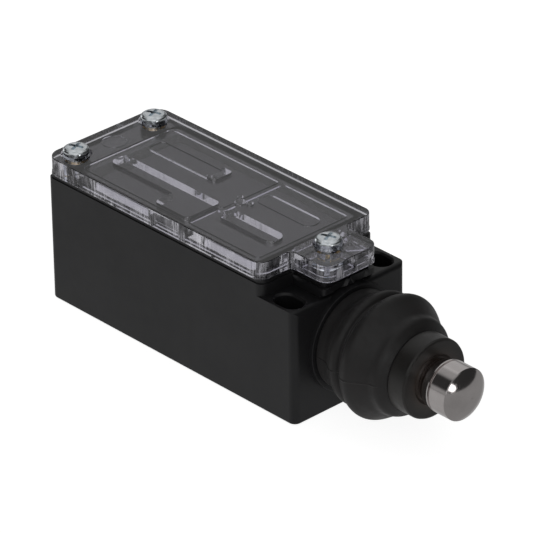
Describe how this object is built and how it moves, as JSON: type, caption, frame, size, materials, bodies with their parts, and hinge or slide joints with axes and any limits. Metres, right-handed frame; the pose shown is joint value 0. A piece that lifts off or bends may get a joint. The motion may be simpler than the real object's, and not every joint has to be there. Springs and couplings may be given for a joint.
{
  "type": "limit switch",
  "caption": "Plunger limit switch: black housing with a clear lid, a rubber-booted steel plunger, fixing slots and a conduit entry, around a double-break contact block.",
  "frame": {"origin": "on the back (mounting) face, midway between the centres of the two fixing slots", "axes": "+X the way the plunger points out of the front, +Z out of the clear lid away from the mounting face, +Y across the housing"},
  "size_m": [0.1407, 0.0386, 0.0431],
  "materials": {
    "black_plastic": "satin",
    "clear_plastic": "polished",
    "black_rubber": "matte",
    "polished_steel": "polished",
    "zinc_steel": "satin",
    "spring_steel": "satin",
    "brass": "satin",
    "black_polymer_gloss": "semi-gloss",
    "bush_plastic": "satin",
    "block_plastic": "satin",
    "carriage_plastic": "satin",
    "copper_alloy": "satin",
    "shield_card": "satin"
  },
  "bodies": {
    "housing": {"housing": "black_plastic", "lid_gasket": "black_rubber", "clear_lid": "clear_plastic", "lid_screws": "zinc_steel", "lid_screw_inserts": "brass", "guide_bush": "bush_plastic", "bush_nut": "zinc_steel", "stem_seal": "black_rubber", "plunger_spring": "spring_steel", "spring_washer": "zinc_steel", "retaining_ring": "spring_steel", "rubber_boot": "black_rubber", "contact_block": "block_plastic", "closed_fixed_contacts": "copper_alloy", "open_fixed_contacts": "copper_alloy", "terminal_clamps": "zinc_steel", "terminal_screws": "zinc_steel", "carriage_spring": "spring_steel", "contact_block_lid": "block_plastic", "block_screws": "zinc_steel", "terminal_shield": "shield_card"},
    "plunger": {"plunger": "polished_steel", "boot_collar": "black_polymer_gloss"},
    "contact_carriage": {"contact_carriage": "carriage_plastic", "closed_contact_bridge": "copper_alloy", "open_contact_bridge": "copper_alloy", "closed_bridge_spring": "spring_steel", "open_bridge_spring": "spring_steel"}
  },
  "joints": [
    {"name": "plunger_press", "type": "slide", "parent": "housing", "child": "plunger", "axis": [-1, 0, 0], "range_m": [0, 0.006], "stiffness_N_per_m": 2000, "springref_m": -0.003, "deforming": ["rubber_boot", "plunger_spring"]},
    {"name": "carriage_slide", "type": "slide", "parent": "housing", "child": "contact_carriage", "axis": [-1, 0, 0], "range_m": [0, 0.006], "deforming": ["carriage_spring"]}
  ],
  "couplings": [
    {"joint": "carriage_slide", "follows": "plunger_press", "ratio": 1}
  ]
}
